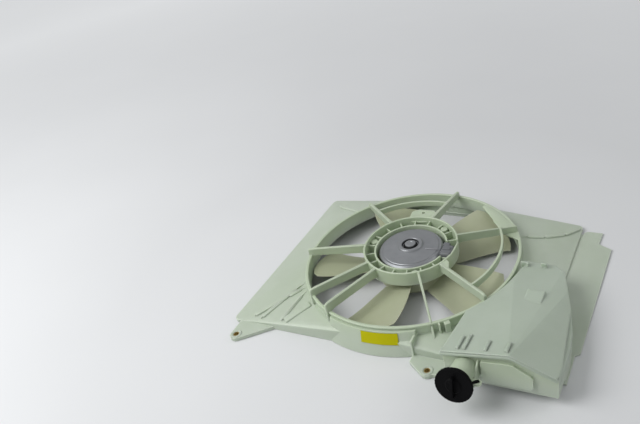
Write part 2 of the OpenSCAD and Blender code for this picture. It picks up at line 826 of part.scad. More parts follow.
module brush_springs() {
    color("#c0b48c")
    for (a = [30, 210])
        rotate(a) translate([commutator_r + run_gap + brush_len, 0, card_z + card_t + 1.6])
            rotate([0, 90, 0])
                difference() {
                    cylinder(r = 1.6, h = spring_len, $fn = 24);
                    for (k = [1:5])
                        translate([0, 0, k * spring_len / 6 - 0.4])
                            difference() {
                                cylinder(r = 3, h = 0.7, $fn = 24);
                                cylinder(r = 1, h = 0.7, $fn = 24);
                            }
                }
}

module connector_shell() {
    color("#85878b")
    difference() {
        union() {
            translate([can_r - 3, -10, connector_z]) cube([connector_end - can_r + 3, 20, connector_h]);
            translate([can_r - 3, 9, connector_z + 1]) cube([13, 10, connector_h - 2]);
            translate([can_r - 3, -3, connector_z + connector_h - 1]) cube([14, 8, 2.2]);
        }
        translate([socket_x, -8, connector_z + 1.8]) cube([20, 16, connector_h - 3.6]);
        cylinder(r = can_r, h = 100);
    }
}

module connector_terminals() {
    color("#c9b878")
    for (y = [-4, 4])
        translate([socket_x, y - 1.5, connector_z + connector_h / 2 - 0.4]) cube([10, 3, 0.8]);
}

shroud();
tank_cover();
filler_cap();
cap_seal();
cap_tether();
mount_sleeves();
fan();
fan_insert();
fan_washer();
fan_nut();
motor_can();
motor_front_plate();
motor_magnets();
motor_screws();
motor_shaft();
front_bearing();
rear_bearing();
armature_core();
armature_winding();
commutator();
brush_card();
carbon_brushes();
brush_springs();
connector_shell();
connector_terminals();
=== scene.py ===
# Radiator cooling fan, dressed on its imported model: moulded shroud, coolant tank, motor and five-blade fan.
# Everything is in metres in the model's own frame: the fan's axis is Z, the tank on +X, the filler cap on -Y.
import math
import bpy
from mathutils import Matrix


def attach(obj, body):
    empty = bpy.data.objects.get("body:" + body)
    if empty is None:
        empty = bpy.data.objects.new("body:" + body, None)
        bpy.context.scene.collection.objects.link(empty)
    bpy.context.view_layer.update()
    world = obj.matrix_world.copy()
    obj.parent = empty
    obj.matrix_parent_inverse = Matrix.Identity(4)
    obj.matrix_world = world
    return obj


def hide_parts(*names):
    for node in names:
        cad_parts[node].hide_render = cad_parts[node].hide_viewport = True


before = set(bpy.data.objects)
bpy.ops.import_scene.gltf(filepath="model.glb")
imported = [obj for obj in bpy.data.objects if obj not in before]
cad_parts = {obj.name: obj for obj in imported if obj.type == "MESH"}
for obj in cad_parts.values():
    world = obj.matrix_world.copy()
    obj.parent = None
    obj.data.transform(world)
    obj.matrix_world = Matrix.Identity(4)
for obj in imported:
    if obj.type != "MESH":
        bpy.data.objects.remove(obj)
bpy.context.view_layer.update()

# The camera looks down at the motor side, from the filler cap's edge, as the lower picture shows it.
# It stands about a metre away, and its shift puts the object in the lower right, where the picture has it.
bpy.ops.object.select_all(action="DESELECT")
bpy.ops.object.camera_add(
    location=(0.38854, -0.68557, 0.61993),
    rotation=(math.radians(49.212), math.radians(8.409), math.radians(22.405)))
camera = bpy.context.object
camera.data.sensor_width = 36
camera.data.lens = 35.04
camera.data.shift_x = -0.15625
camera.data.shift_y = 0.13125
camera.data.clip_end = 30
bpy.context.scene.camera = camera
bpy.context.scene.view_settings.view_transform = "Standard"

# Studio: one broad soft lamp above, to the left and in front, a weak one from the right, and an even room.
# The floor is a matte pale sheet that the shroud lies on, radiator side down; far off it stays as pale.
world = bpy.data.worlds.new("pale_room")
bpy.context.scene.world = world
world.use_nodes = True
world.node_tree.nodes["Background"].inputs["Color"].default_value = (0.93, 0.94, 0.95, 1)
world.node_tree.nodes["Background"].inputs["Strength"].default_value = 0.47
bpy.ops.object.light_add(
    type="AREA", location=(-0.9, -0.75, 1.3), rotation=(math.radians(32), math.radians(-35), 0))
key_lamp = bpy.context.object
key_lamp.data.size = 1.1
key_lamp.data.energy = 21
bpy.ops.object.light_add(
    type="AREA", location=(1.5, 0.7, 1.3), rotation=(math.radians(-20), math.radians(48), 0))
side_lamp = bpy.context.object
side_lamp.data.size = 0.9
side_lamp.data.energy = 4

bpy.ops.object.select_all(action="DESELECT")
bpy.ops.mesh.primitive_grid_add(x_subdivisions=8, y_subdivisions=8, size=12, location=(0, 0, -0.0006))
floor = bpy.context.object
floor.name = "floor"
bpy.ops.object.transform_apply(location=True, rotation=True, scale=True)
sheet = bpy.data.materials.new("pale_sheet")
sheet.use_nodes = True
sheet_nodes, sheet_links = sheet.node_tree.nodes, sheet.node_tree.links
sheet_shader = sheet_nodes["Principled BSDF"]
sheet_shader.inputs["Roughness"].default_value = 0.85
sheet_place = sheet_nodes.new("ShaderNodeTexCoord")
sheet_noise = sheet_nodes.new("ShaderNodeTexNoise")
sheet_noise.inputs["Scale"].default_value = 3
sheet_tint = sheet_nodes.new("ShaderNodeValToRGB")
sheet_tint.color_ramp.elements[0].color = (0.66, 0.67, 0.68, 1)
sheet_tint.color_ramp.elements[1].color = (0.70, 0.71, 0.72, 1)
sheet_links.new(sheet_place.outputs["Object"], sheet_noise.inputs["Vector"])
sheet_links.new(sheet_noise.outputs["Fac"], sheet_tint.inputs["Fac"])
sheet_links.new(sheet_tint.outputs["Color"], sheet_shader.inputs["Base Color"])
sheet_reach = sheet_nodes.new("ShaderNodeVectorMath")
sheet_reach.operation = "LENGTH"
sheet_links.new(sheet_place.outputs["Object"], sheet_reach.inputs[0])
sheet_far = sheet_nodes.new("ShaderNodeMapRange")
sheet_far.inputs["From Min"].default_value = 0.5
sheet_far.inputs["From Max"].default_value = 2.4
sheet_far.inputs["To Max"].default_value = 0.36
sheet_links.new(sheet_reach.outputs["Value"], sheet_far.inputs["Value"])
sheet_ray = sheet_nodes.new("ShaderNodeLightPath")
sheet_seen = sheet_nodes.new("ShaderNodeMath")
sheet_seen.operation = "MAXIMUM"
sheet_links.new(sheet_ray.outputs["Is Camera Ray"], sheet_seen.inputs[0])
sheet_links.new(sheet_ray.outputs["Is Glossy Ray"], sheet_seen.inputs[1])
sheet_glow = sheet_nodes.new("ShaderNodeMath")
sheet_glow.operation = "MULTIPLY"
sheet_links.new(sheet_far.outputs["Result"], sheet_glow.inputs[0])
sheet_links.new(sheet_seen.outputs["Value"], sheet_glow.inputs[1])
sheet_shader.inputs["Emission Color"].default_value = (0.97, 0.985, 1.0, 1)
sheet_links.new(sheet_glow.outputs["Value"], sheet_shader.inputs["Emission Strength"])
floor.data.materials.append(sheet)

# Shroud: one large injection moulding in natural polypropylene, milky green-white and slightly translucent.
# The thick ring and arms look more green than the thin flat panel, where light passes through them. This is
# painted as a green tint that grows with height, and the edges get pale painted light. The gates leave faint
# cloudy flow marks.
def moulded_plastic(name, thin, thick, rough, glow, grain, painted_edge_light=0.0):
    material = bpy.data.materials.new(name)
    material.use_nodes = True
    nodes, links = material.node_tree.nodes, material.node_tree.links
    shader = nodes["Principled BSDF"]
    place = nodes.new("ShaderNodeTexCoord")
    cloud = nodes.new("ShaderNodeTexNoise")
    cloud.inputs["Scale"].default_value = 7
    cloud.inputs["Detail"].default_value = 5
    cloud.inputs["Roughness"].default_value = 0.6
    links.new(place.outputs["Object"], cloud.inputs["Vector"])
    tint = nodes.new("ShaderNodeValToRGB")
    tint.color_ramp.elements[0].position = 0.32
    tint.color_ramp.elements[0].color = (*thick, 1)
    tint.color_ramp.elements[1].position = 0.68
    tint.color_ramp.elements[1].color = (*thin, 1)
    links.new(cloud.outputs["Fac"], tint.inputs["Fac"])
    # Painted edge light: where the bevel normal turns away from the face's normal, the colour is mixed
    # towards a paler copy of the thin colour. This stands in for light glowing through the plastic's edges.
    broad_edge = nodes.new("ShaderNodeBevel")
    broad_edge.samples = 6
    broad_edge.inputs["Radius"].default_value = 0.0020
    face = nodes.new("ShaderNodeNewGeometry")
    turn = nodes.new("ShaderNodeVectorMath")
    turn.operation = "DOT_PRODUCT"
    links.new(broad_edge.outputs["Normal"], turn.inputs[0])
    links.new(face.outputs["Normal"], turn.inputs[1])
    edge = nodes.new("ShaderNodeMapRange")
    edge.inputs["From Min"].default_value = 0.98
    edge.inputs["From Max"].default_value = 0.80
    edge.inputs["To Max"].default_value = painted_edge_light
    links.new(turn.outputs["Value"], edge.inputs["Value"])
    rim = nodes.new("ShaderNodeMix")
    rim.name = "Painted Edge Light"
    rim.data_type = "RGBA"
    rim.inputs[7].default_value = (
        min(thin[0] * 1.35, 0.9), min(thin[1] * 1.32, 0.9), min(thin[2] * 1.35, 0.9), 1)
    links.new(edge.outputs["Result"], rim.inputs[0])
    links.new(tint.outputs["Color"], rim.inputs[6])
    links.new(rim.outputs[2], shader.inputs["Base Color"])
    sheen = nodes.new("ShaderNodeMapRange")
    sheen.inputs["To Min"].default_value = rough - 0.06
    sheen.inputs["To Max"].default_value = rough + 0.08
    links.new(cloud.outputs["Fac"], sheen.inputs["Value"])
    links.new(sheen.outputs["Result"], shader.inputs["Roughness"])
    soft_edge = nodes.new("ShaderNodeBevel")
    soft_edge.name = "Soft Edge"
    soft_edge.samples = 6
    soft_edge.inputs["Radius"].default_value = 0.0009
    swell = nodes.new("ShaderNodeTexNoise")
    swell.inputs["Scale"].default_value = 22
    swell.inputs["Detail"].default_value = 2
    links.new(place.outputs["Object"], swell.inputs["Vector"])
    soft_bump = nodes.new("ShaderNodeBump")
    soft_bump.inputs["Strength"].default_value = 0.25
    soft_bump.inputs["Distance"].default_value = 0.0012
    links.new(swell.outputs["Fac"], soft_bump.inputs["Height"])
    links.new(soft_edge.outputs["Normal"], soft_bump.inputs["Normal"])
    pores = nodes.new("ShaderNodeTexNoise")
    pores.inputs["Scale"].default_value = grain
    pores.inputs["Detail"].default_value = 3
    links.new(place.outputs["Object"], pores.inputs["Vector"])
    fine_bump = nodes.new("ShaderNodeBump")
    fine_bump.inputs["Strength"].default_value = 0.18
    fine_bump.inputs["Distance"].default_value = 0.0002
    links.new(pores.outputs["Fac"], fine_bump.inputs["Height"])
    links.new(soft_bump.outputs["Normal"], fine_bump.inputs["Normal"])
    links.new(fine_bump.outputs["Normal"], shader.inputs["Normal"])
    shader.inputs["Subsurface Weight"].default_value = glow
    shader.inputs["Subsurface Radius"].default_value = (0.9, 1.0, 0.8)
    shader.inputs["Subsurface Scale"].default_value = 0.008
    return material


def finish_node(name, material):
    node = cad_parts[name]
    node.data.materials.clear()
    node.data.materials.append(material)


shroud_plastic = moulded_plastic(
    "natural_polypropylene", thin=(0.50, 0.56, 0.47), thick=(0.44, 0.505, 0.40), rough=0.34, glow=0.30,
    grain=800, painted_edge_light=0.75)
shroud_nodes, shroud_links = shroud_plastic.node_tree.nodes, shroud_plastic.node_tree.links
# Painted translucent light: the colour is multiplied by a green tint that grows from 20 mm to 46 mm high. It
# stands in for light passing through the thick ring and arms.
height = shroud_nodes.new("ShaderNodeSeparateXYZ")
shroud_links.new(shroud_nodes["Texture Coordinate"].outputs["Object"], height.inputs["Vector"])
translucence_height_mask = shroud_nodes.new("ShaderNodeMapRange")
translucence_height_mask.inputs["From Min"].default_value = 0.020
translucence_height_mask.inputs["From Max"].default_value = 0.046
shroud_links.new(height.outputs["Z"], translucence_height_mask.inputs["Value"])
painted_translucence_tint = shroud_nodes.new("ShaderNodeMix")
painted_translucence_tint.data_type = "RGBA"
painted_translucence_tint.blend_type = "MULTIPLY"
shroud_links.new(translucence_height_mask.outputs["Result"], painted_translucence_tint.inputs["Factor"])
shroud_links.new(shroud_nodes["Painted Edge Light"].outputs[2], painted_translucence_tint.inputs[6])
painted_translucence_tint.inputs[7].default_value = (0.97, 1.0, 0.90, 1)
shroud_links.new(painted_translucence_tint.outputs[2], shroud_nodes["Principled BSDF"].inputs["Base Color"])
finish_node("shroud", shroud_plastic)

# Arms' round edges: each arm of the stay has a thick rounded top edge that turns down over the ring.
# They are part of the shroud's moulding; each is a round bar carried along its arm and bent down at the tip.
def hoop(name, radius, place, sides, turn=(0, 0, 0)):
    bpy.ops.object.select_all(action="DESELECT")
    bpy.ops.mesh.primitive_circle_add(
        vertices=sides, radius=radius, fill_type="NOTHING", location=place, rotation=turn)
    piece = bpy.context.object
    piece.name = name
    bpy.ops.object.transform_apply(location=True, rotation=True, scale=True)
    bpy.ops.object.mode_set(mode="EDIT")
    bpy.ops.mesh.select_all(action="SELECT")
    return piece


def seat(piece, material, body="shroud_body", angle=35):
    bpy.ops.object.select_all(action="DESELECT")
    piece.select_set(True)
    bpy.context.view_layer.objects.active = piece
    bpy.ops.object.transform_apply(location=True, rotation=True, scale=True)
    bpy.ops.object.shade_smooth_by_angle(angle=math.radians(angle))
    piece.data.materials.clear()
    piece.data.materials.append(material)
    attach(piece, body)


def close_ends():
    bpy.ops.mesh.select_all(action="SELECT")
    bpy.ops.mesh.fill_holes(sides=0)
    bpy.ops.mesh.select_all(action="SELECT")
    bpy.ops.mesh.normals_make_consistent(inside=False)
    bpy.ops.object.mode_set(mode="OBJECT")


# Each arm's turn in degrees, the height and reach of its tip, the height of its foot, and its edge's radius.
arm_tips = {
    "lower_left": (139, 0.050, 0.168, 0.030, 0.0024), "lower": (84, 0.052, 0.168, 0.030, 0.0024),
    "lower_tank": (30, 0.054, 0.168, 0.036, 0.0016), "tank": (-29.5, 0.055, 0.170, 0.024, 0.0024),
    "thin": (-58, 0.045, 0.168, 0.024, 0.0016), "upper": (-113.5, 0.057, 0.171, 0.024, 0.0024),
    "upper_left": (-130.5, 0.054, 0.170, 0.024, 0.0024), "left": (-167, 0.054, 0.170, 0.024, 0.0024)}
for place_name, (arm_turn, tip_height, tip_reach, foot_height, edge_radius) in arm_tips.items():
    bend_radius = edge_radius + 0.0002
    start_x, start_z = 0.0728, 0.0609 - edge_radius
    bend_x, bend_z = tip_reach - 0.55 * edge_radius - bend_radius, tip_height - 0.42 * edge_radius
    slope = math.atan2(bend_z - start_z, bend_x - start_x)
    arm_edge = hoop(
        "arm_edge_" + place_name, edge_radius, (start_x, 0, start_z), 16, (0, math.pi / 2 - slope, 0))
    bpy.ops.mesh.extrude_region_move(
        TRANSFORM_OT_translate={"value": (bend_x - start_x, 0, bend_z - start_z)})
    bpy.ops.mesh.spin(
        steps=7, angle=-(math.pi / 2 + slope), axis=(0, 1, 0),
        center=(bend_x + bend_radius * math.sin(slope), 0, bend_z - bend_radius * math.cos(slope)))
    bpy.ops.mesh.extrude_region_move(
        TRANSFORM_OT_translate={"value": (0.0012, 0, foot_height - bend_z + bend_radius)})
    close_ends()
    arm_edge.rotation_euler.z = math.radians(arm_turn)
    seat(arm_edge, shroud_plastic)

# Ring web: a flat web closes the corner between the ring and the arm and curved rib on the tank side.
# It lies just under the ring's top edge and belongs to the same moulding.
def heading(place):
    return math.degrees(math.atan2(place.y, place.x))


def pick(piece, kind, wanted):
    bpy.ops.mesh.select_all(action="DESELECT")
    bpy.ops.object.mode_set(mode="OBJECT")
    for element in getattr(piece.data, kind):
        element.select = wanted(element)
    bpy.ops.object.mode_set(mode="EDIT")


def soften(piece, width, segments=2):
    rounding = piece.modifiers.new("rounding", "BEVEL")
    rounding.width = width
    rounding.segments = segments
    bpy.ops.object.modifier_apply(modifier="rounding")


web_outer, web_inner, web_height = 0.166, 0.1445, 0.0438
ring_web = hoop("ring_web", web_outer, (0, 0, web_height), 180)
bpy.ops.mesh.extrude_region_move(TRANSFORM_OT_translate={"value": (0, 0, 0)})
bpy.ops.transform.resize(
    value=(web_inner / web_outer, web_inner / web_outer, 1), center_override=(0, 0, web_height))
pick(ring_web, "polygons", lambda face: not 16 < heading(face.center) < 64)
bpy.ops.mesh.delete(type="FACE")
arm_side = ((0.1085, 0.0977, 0), (-0.0379, -0.0334, 0))
rib_side = ((0.1216, 0.0790, 0), (-0.0135, -0.0255, 0))
for cut_at, cut_facing in (arm_side, rib_side):
    bpy.ops.mesh.select_all(action="SELECT")
    bpy.ops.mesh.bisect(plane_co=cut_at, plane_no=cut_facing, clear_outer=True)
bpy.ops.object.mode_set(mode="OBJECT")
web_wall = ring_web.modifiers.new("web_wall", "SOLIDIFY")
web_wall.thickness = 0.003
web_wall.offset = -1 if ring_web.data.polygons[0].normal.z > 0 else 1
bpy.ops.object.modifier_apply(modifier="web_wall")
soften(ring_web, 0.0007)
seat(ring_web, shroud_plastic)

# Corner gusset: a broad low ridge that stiffens the shroud's funnel between the left ear and the ring.
# It runs up the slope, and its edges are well rounded.
def block(name, place, size, turn=(0, 0, 0)):
    bpy.ops.object.select_all(action="DESELECT")
    bpy.ops.mesh.primitive_cube_add(size=1, location=place, rotation=turn)
    piece = bpy.context.object
    piece.name = name
    piece.scale = size
    bpy.ops.object.transform_apply(location=True, rotation=True, scale=True)
    return piece


corner_gusset = block(
    "corner_gusset", (-0.1305, -0.1475, 0.0213), (0.046, 0.013, 0.006),
    (0, math.radians(-12.3), math.radians(51)))
soften(corner_gusset, 0.0025, 4)
seat(corner_gusset, shroud_plastic)

# Rib crowns: the panel's thin stiffening ribs have rounded tops, a little wider than the ribs themselves.
# They are moulded with the shroud; each lies along its rib's sloping top.
def crown(name, start, end, width):
    crown_height, crown_sink = 0.0044, 0.0012
    run_x, run_y, rise_z = (b - a for a, b in zip(start, end))
    middle_x, middle_y, middle_z = ((a + b) / 2 for a, b in zip(start, end))
    flat = math.hypot(run_x, run_y)
    piece = block(
        name, (middle_x, middle_y, middle_z - crown_sink), (math.hypot(flat, rise_z), width, crown_height),
        (0, -math.atan2(rise_z, flat), math.atan2(run_y, run_x)))
    soften(piece, width * 0.28, 5)
    return piece


# Each rib's two ends, in plan and in height.
for crown_name, crown_start, crown_end in (
        ("left_a", (-0.2034, -0.1603, 0.0128), (-0.1656, -0.1207, 0.0230)),
        ("left_b", (-0.1630, -0.1178, 0.0237), (-0.1495, -0.1028, 0.0263)),
        ("left_c", (-0.1504, -0.1634, 0.0184), (-0.1406, -0.1170, 0.0261)),
        ("left_d", (-0.1882, -0.1625, 0.0143), (-0.1580, -0.1020, 0.0256)),
        ("far_left", (-0.2108, 0.1416, 0.0140), (-0.1492, 0.1142, 0.0261)),
        ("far_right_a", (0.1578, 0.0978, 0.0263), (0.1816, 0.1084, 0.0212)),
        ("far_right_b", (0.1831, 0.1089, 0.0209), (0.2089, 0.1291, 0.0143)),
        ("far_right_c", (0.2098, 0.1302, 0.0140), (0.2272, 0.1568, 0.0085))):
    seat(crown("rib_crown_" + crown_name, crown_start, crown_end, 0.0072), shroud_plastic)

# Thin arm's fin: the thin arm is carried down the ring's outside by a flat fin with a sloping edge.
# It stands on the funnel beside the two clip posts.
arm_fin = block("thin_arm_fin", (0.1730, 0, 0.0275), (0.0140, 0.0030, 0.0310))
bpy.ops.object.mode_set(mode="EDIT")
bpy.ops.mesh.select_all(action="SELECT")
bpy.ops.mesh.bisect(
    plane_co=(0.1715, 0, 0.043), plane_no=(0.018, 0, 0.0085), clear_outer=True, use_fill=True)
bpy.ops.object.mode_set(mode="OBJECT")
soften(arm_fin, 0.0006)
arm_fin.rotation_euler.z = math.radians(-58)
seat(arm_fin, shroud_plastic)

# Panel lip: a fine raised line follows the panel's edge on both sides of the ring's bulge.
# It is moulded with the shroud and is carried from point to point as a round bead with tapered ends.
def bead(name, points, radius):
    (x0, y0, z0), last = points[0], points[-1]
    piece = hoop(name, radius * 0.4, (x0 - radius * 0.5, y0, z0), 12, (0, math.pi / 2, 0))
    bpy.ops.mesh.extrude_region_move(TRANSFORM_OT_translate={"value": (radius * 0.5, 0, 0)})
    bpy.ops.transform.resize(value=(1, 2.5, 2.5), center_override=points[0])
    for here, there in zip(points, points[1:]):
        bpy.ops.mesh.extrude_region_move(
            TRANSFORM_OT_translate={"value": tuple(b - a for a, b in zip(here, there))})
    bpy.ops.mesh.extrude_region_move(TRANSFORM_OT_translate={"value": (radius * 0.5, 0, 0)})
    bpy.ops.transform.resize(value=(1, 0.4, 0.4), center_override=(last[0] + radius * 0.5, last[1], last[2]))
    close_ends()
    return piece


for lip_name, lip_points in (
        ("panel_lip_left", ((-0.224, -0.1672, 0.0062), (-0.120, -0.1672, 0.0068), (-0.078, -0.1672, 0.0062))),
        ("panel_lip_bottom", ((-0.226, 0.1662, 0.0062), (0.0, 0.1662, 0.0075), (0.212, 0.1662, 0.0062)))):
    seat(bead(lip_name, lip_points, 0.0012), shroud_plastic)

# Ear pads: a low raised pad round each sleeve takes the bolt's washer.
# They are moulded with the ears.
def turned(name, profile, sides):
    (radius, height), steps = profile[0], profile[1:]
    piece = hoop(name, radius, (0, 0, height), sides)
    for next_radius, next_height in steps:
        bpy.ops.mesh.extrude_region_move(TRANSFORM_OT_translate={"value": (0, 0, next_height - height)})
        bpy.ops.transform.resize(
            value=(next_radius / radius, next_radius / radius, 1), center_override=(0, 0, next_height))
        radius, height = next_radius, next_height
    return piece


def close_ring():
    bpy.ops.mesh.select_all(action="DESELECT")
    bpy.ops.mesh.select_non_manifold()
    bpy.ops.mesh.bridge_edge_loops()
    bpy.ops.mesh.select_all(action="SELECT")
    bpy.ops.mesh.normals_make_consistent(inside=False)
    bpy.ops.object.mode_set(mode="OBJECT")


ear_pad_profile = (
    (0.0086, 0.0056), (0.0084, 0.0066), (0.0079, 0.0070), (0.0056, 0.0070), (0.0050, 0.0067),
    (0.0047, 0.0056))
for ear_name, ear_x, ear_y in (("left", -0.215, -0.200), ("right", 0.098, -0.194), ("bottom", -0.002, 0.190)):
    ear_pad = turned("ear_pad_" + ear_name, ear_pad_profile, 36)
    close_ring()
    ear_pad.location = (ear_x, ear_y, 0)
    seat(ear_pad, shroud_plastic)

# Tank cover: the outer half of the coolant tank, blown a little thinner and colder in tone than the shroud.
# It is welded to the shroud's half along the seam and takes the clip and the small ribs by the flange.
tank_plastic = moulded_plastic(
    "tank_polypropylene", thin=(0.44, 0.51, 0.42), thick=(0.38, 0.445, 0.355), rough=0.36, glow=0.35,
    grain=700, painted_edge_light=0.75)
tank_plastic.node_tree.nodes["Soft Edge"].inputs["Radius"].default_value = 0.0034
finish_node("tank_cover", tank_plastic)

# Tank edge: a thick rounded welt along the cover's flange, over the neck.
# It rises to the crease and falls away to the tank's right side.
tank_welt = bead(
    "tank_welt", ((0.1275, -0.2032, 0.0575), (0.170, -0.2032, 0.0648), (0.2165, -0.2032, 0.0730),
                  (0.2215, -0.2032, 0.0722), (0.2745, -0.2032, 0.0478)), 0.0031)
seat(tank_welt, tank_plastic)

# Cover rib crowns: the four short ribs beside the flange have rounded tops.
# They are moulded with the cover.
cover_rib_start_y = -0.199
for rib_x, rib_start_z, rib_end_y, rib_end_z in (
        (0.149, 0.0676, -0.175, 0.0650), (0.158, 0.0691, -0.173, 0.0662), (0.186, 0.0737, -0.181, 0.0717),
        (0.213, 0.0781, -0.182, 0.0758)):
    cover_crown = crown(
        "cover_crown_" + str(round(rib_x * 1000)), (rib_x, cover_rib_start_y, rib_start_z),
        (rib_x, rib_end_y, rib_end_z), 0.0048)
    seat(cover_crown, tank_plastic)

# Tank side: the cover's right side bows out over the tank's wall between the flange and the far end.
# It is part of the cover's moulding and closes down to the seam.
tank_side = block("tank_side", (0.2705, -0.1300, 0.0350), (0.006, 0.118, 0.016))
bpy.ops.object.mode_set(mode="EDIT")
for station in (-0.165, -0.140, -0.112, -0.094):
    bpy.ops.mesh.select_all(action="SELECT")
    bpy.ops.mesh.bisect(plane_co=(0, station, 0), plane_no=(0, 1, 0))
# At each station along the side: the inner and outer faces' X and the top's height.
side_plan = {
    -0.189: (0.2705, 0.2762, 0.0480), -0.165: (0.2690, 0.2768, 0.0458), -0.140: (0.2660, 0.2764, 0.0440),
    -0.112: (0.2625, 0.2734, 0.0424), -0.094: (0.2590, 0.2686, 0.0418), -0.071: (0.2560, 0.2624, 0.0412)}
inner_face, outer_face, side_low, side_high = 0.2675, 0.2735, 0.027, 0.043
for station, (inner_x, outer_x, top_z) in side_plan.items():
    for old_x, old_z, new_x, new_z in (
            (inner_face, side_high, inner_x, top_z + 0.0015),
            (outer_face, side_high, outer_x, top_z - 0.0012),
            (inner_face, side_low, inner_x, side_low),
            (outer_face, side_low, outer_x, side_low)):
        pick(tank_side, "vertices", lambda corner: (
            abs(corner.co.y - station) < 0.0005 and abs(corner.co.x - old_x) < 0.0004
            and abs(corner.co.z - old_z) < 0.0004))
        bpy.ops.transform.translate(value=(new_x - old_x, 0, new_z - old_z))
bpy.ops.object.mode_set(mode="OBJECT")
soften(tank_side, 0.0016, 3)
seat(tank_side, tank_plastic, angle=50)

# Neck gusset: an upright web on the tank's top wall braces the filler neck on its right side.
# It is moulded with the shroud's half of the tank.
neck_gusset = block("neck_gusset", (0.1762, -0.2120, 0.0430), (0.0026, 0.0240, 0.0280))
bpy.ops.object.mode_set(mode="EDIT")
bpy.ops.mesh.select_all(action="SELECT")
bpy.ops.mesh.bisect(
    plane_co=(0, -0.2240, 0.0400), plane_no=(0, -0.0170, 0.0215), clear_outer=True, use_fill=True)
bpy.ops.object.mode_set(mode="OBJECT")
soften(neck_gusset, 0.0007)
seat(neck_gusset, shroud_plastic)

# Blank patch: a thin plain yellow adhesive film, stuck on the round wall in front of the ring.
# It is cut from a cone of the wall's own slope, so it lies on the moulding all over.
patch_low, patch_high = 0.0196, 0.0376
bpy.ops.object.select_all(action="DESELECT")
bpy.ops.mesh.primitive_cone_add(
    vertices=180, radius1=0.17855, radius2=0.17394, depth=patch_high - patch_low, end_fill_type="NOTHING",
    location=(0, 0, (patch_low + patch_high) / 2))
patch = bpy.context.object
patch.name = "yellow_patch"
bpy.ops.object.transform_apply(location=True, rotation=True, scale=True)
bpy.ops.object.mode_set(mode="EDIT")
pick(patch, "polygons", lambda face: not -92.2 < heading(face.center) < -73.2)
bpy.ops.mesh.delete(type="FACE")
bpy.ops.mesh.select_all(action="SELECT")
bpy.ops.mesh.normals_make_consistent(inside=False)
bpy.ops.object.mode_set(mode="OBJECT")
paper = patch.modifiers.new("paper", "SOLIDIFY")
paper.thickness = 0.00035
paper.offset = 1
bpy.ops.object.modifier_apply(modifier="paper")
soften(patch, 0.0001, 1)
patch_yellow = moulded_plastic(
    "yellow_film", thin=(0.50, 0.475, 0.002), thick=(0.45, 0.425, 0.001), rough=0.62, glow=0.0, grain=1500)
patch_yellow.node_tree.nodes["Principled BSDF"].inputs["Specular IOR Level"].default_value = 0.12
patch.data.materials.append(patch_yellow)
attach(patch, "shroud_body")

# Ear sleeves: short tubes of yellow-plated brass pressed into the three ears for the fixing bolts.
# The bore is bright where bolts have rubbed it and duller on the end faces.
def worked_metal(name, colour, dull, metallic, rough, grain, streak):
    material = bpy.data.materials.new(name)
    material.use_nodes = True
    nodes, links = material.node_tree.nodes, material.node_tree.links
    shader = nodes["Principled BSDF"]
    shader.inputs["Metallic"].default_value = metallic
    place = nodes.new("ShaderNodeTexCoord")
    stretch = nodes.new("ShaderNodeMapping")
    stretch.inputs["Scale"].default_value = streak
    links.new(place.outputs["Object"], stretch.inputs["Vector"])
    mottle = nodes.new("ShaderNodeTexNoise")
    mottle.inputs["Scale"].default_value = grain
    mottle.inputs["Detail"].default_value = 6
    mottle.inputs["Roughness"].default_value = 0.62
    links.new(stretch.outputs["Vector"], mottle.inputs["Vector"])
    tint = nodes.new("ShaderNodeValToRGB")
    tint.color_ramp.elements[0].position = 0.36
    tint.color_ramp.elements[0].color = (*dull, 1)
    tint.color_ramp.elements[1].position = 0.64
    tint.color_ramp.elements[1].color = (*colour, 1)
    links.new(mottle.outputs["Fac"], tint.inputs["Fac"])
    links.new(tint.outputs["Color"], shader.inputs["Base Color"])
    polish = nodes.new("ShaderNodeMapRange")
    polish.inputs["To Min"].default_value = rough + 0.12
    polish.inputs["To Max"].default_value = rough - 0.08
    links.new(mottle.outputs["Fac"], polish.inputs["Value"])
    links.new(polish.outputs["Result"], shader.inputs["Roughness"])
    bump = nodes.new("ShaderNodeBump")
    bump.inputs["Strength"].default_value = 0.2
    bump.inputs["Distance"].default_value = 0.0001
    links.new(mottle.outputs["Fac"], bump.inputs["Height"])
    links.new(bump.outputs["Normal"], shader.inputs["Normal"])
    return material


plated_brass = worked_metal(
    "yellow_plating", colour=(0.58, 0.44, 0.17), dull=(0.40, 0.29, 0.10), metallic=0.9, rough=0.36, grain=420,
    streak=(1, 1, 1))
finish_node("mount_sleeves", plated_brass)

# Fan: five blades and the cup-shaped hub in one moulding, creamier in tone than the shroud.
# It is moulded in the same natural plastic, so light shows through the blades.
fan_plastic = moulded_plastic(
    "fan_polypropylene", thin=(0.42, 0.445, 0.31), thick=(0.36, 0.385, 0.25), rough=0.36, glow=0.35,
    grain=900, painted_edge_light=0.6)
finish_node("fan", fan_plastic)

# Hub fixings: a turned steel insert moulded into the hub, a plain washer, and a yellow-plated hexagon nut.
# They hold the hub on the motor's shaft.
turned_steel = worked_metal(
    "turned_steel", colour=(0.62, 0.62, 0.64), dull=(0.42, 0.42, 0.45), metallic=1.0, rough=0.32, grain=300,
    streak=(1, 1, 6))
for name in ("fan_insert", "fan_washer"):
    finish_node(name, turned_steel)
finish_node("fan_nut", plated_brass)

# Motor can and front plate: deep-drawn steel with a dull grey zinc coating that shows fine mottling.
# The can's closed end faces the engine, with a drawn ring round its bearing seat.
zinc_steel = worked_metal(
    "zinc_coated_steel", colour=(0.31, 0.32, 0.335), dull=(0.28, 0.29, 0.305), metallic=0.6, rough=0.42,
    grain=60, streak=(1, 1, 1))
for name in ("motor_can", "motor_front_plate"):
    finish_node(name, zinc_steel)

